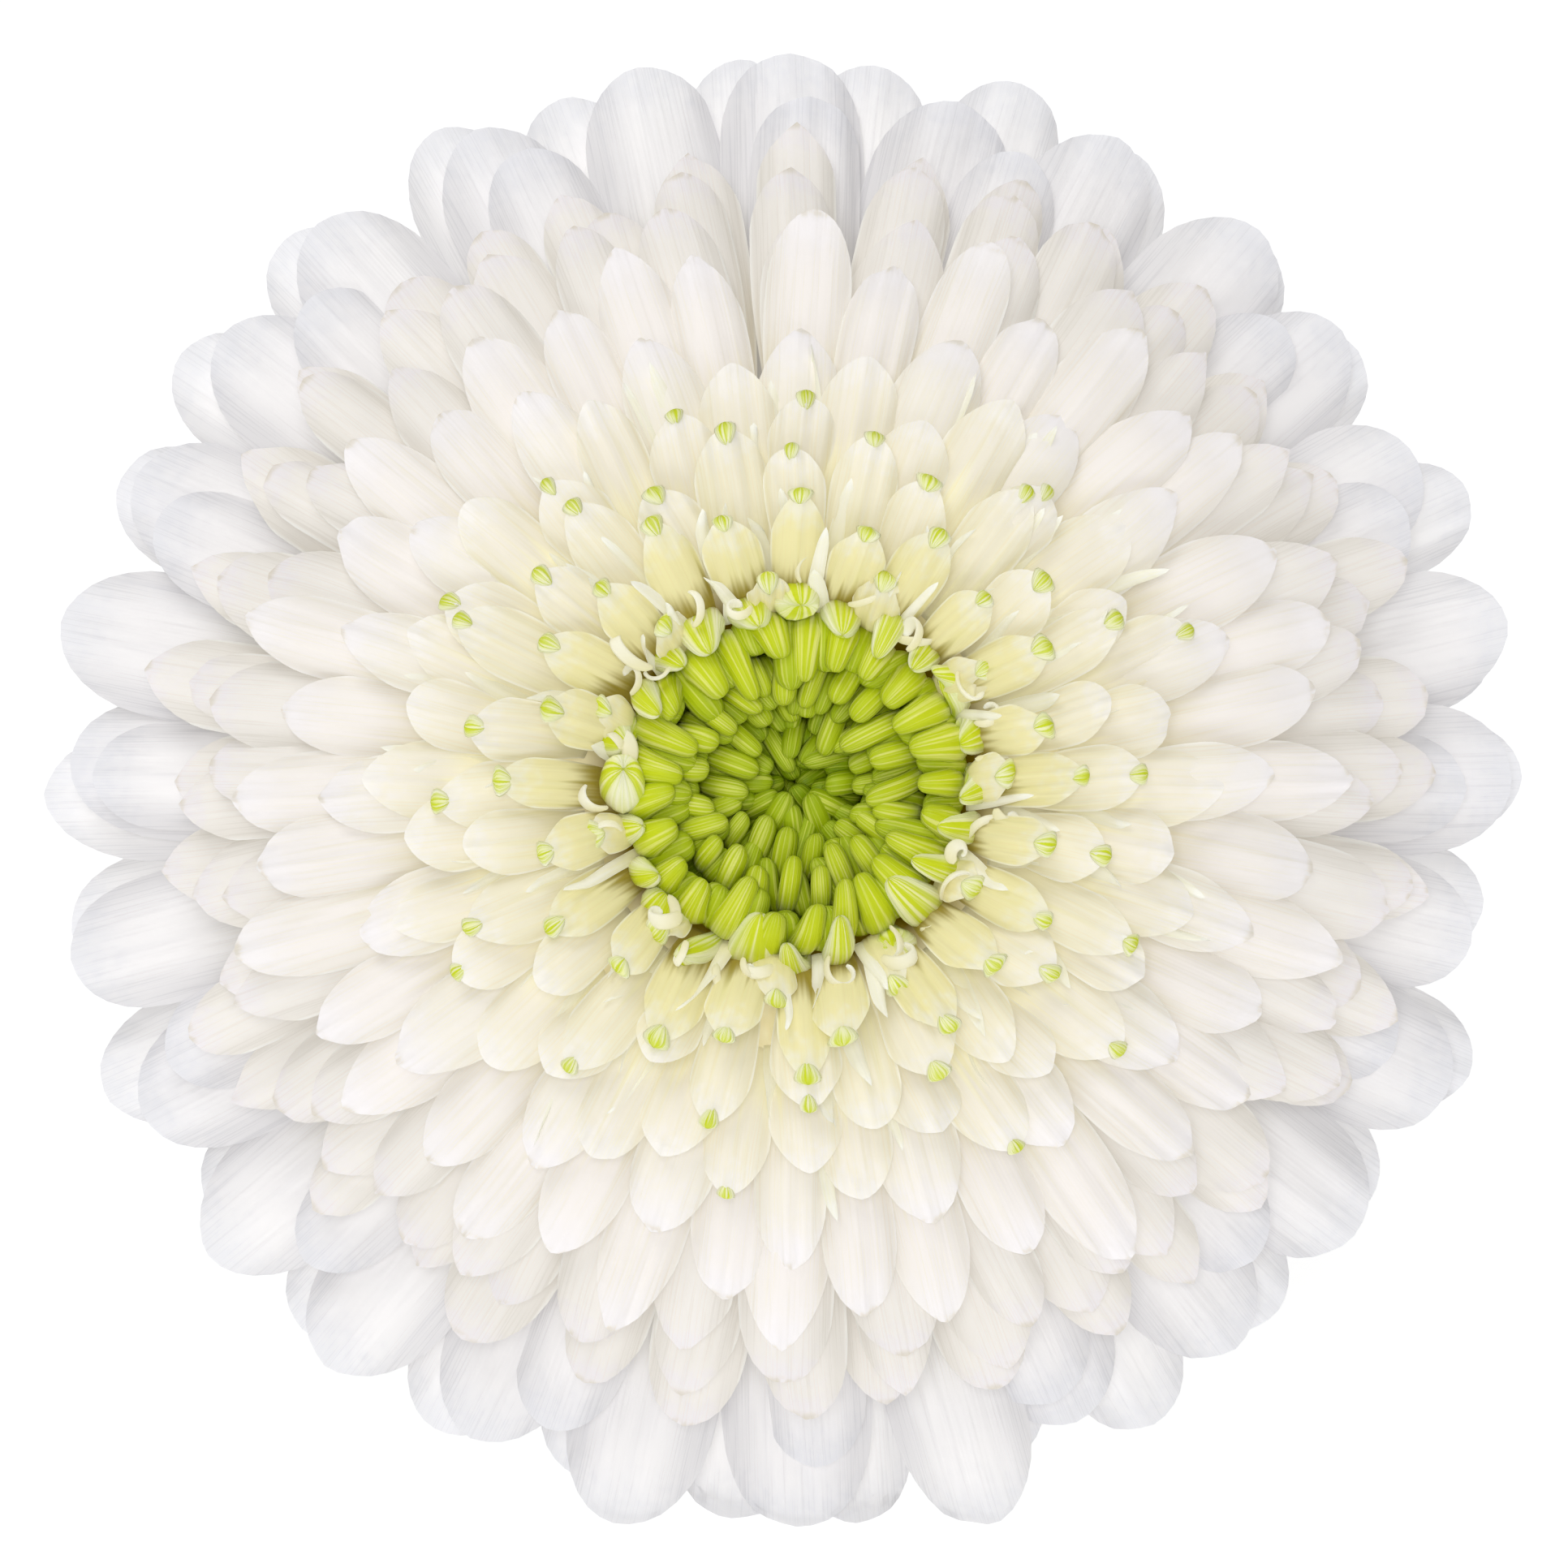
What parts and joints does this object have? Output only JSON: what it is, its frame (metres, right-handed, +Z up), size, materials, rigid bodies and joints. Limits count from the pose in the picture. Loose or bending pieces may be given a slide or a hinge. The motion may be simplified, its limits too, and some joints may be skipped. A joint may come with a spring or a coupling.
{
  "type": "gerbera daisy",
  "caption": "Fully double white gerbera daisy with a green eye, cut with a bare stem and lying on its side, propped on its lowest ray petals.",
  "frame": {"origin": "on the table, under the middle of the whole lying flower", "axes": "+Z up, +Y from the flower's face back along the lying stem, +X to the right as the flower is seen from its face"},
  "size_m": [0.105, 0.2208, 0.0915],
  "materials": {
    "ray_petal": "thin satin petal, cool white with fine lengthwise veins",
    "inner_petal": "satin petal, white at the tip and cream towards its foot, ridged lengthwise",
    "eye_bud": "smooth waxy closed bud, yellow-green with paler lengthwise stripes",
    "bract": "matt green scale with fine pale hairs",
    "stem": "matt green flower stalk with fine lengthwise ribs and short pale hairs"
  },
  "bodies": {
    "root": {"ray_petals": "ray_petal", "inner_petals": "inner_petal", "eye_buds": "eye_bud", "bract_cup": "bract", "stem": "stem"}
  },
  "joints": []
}
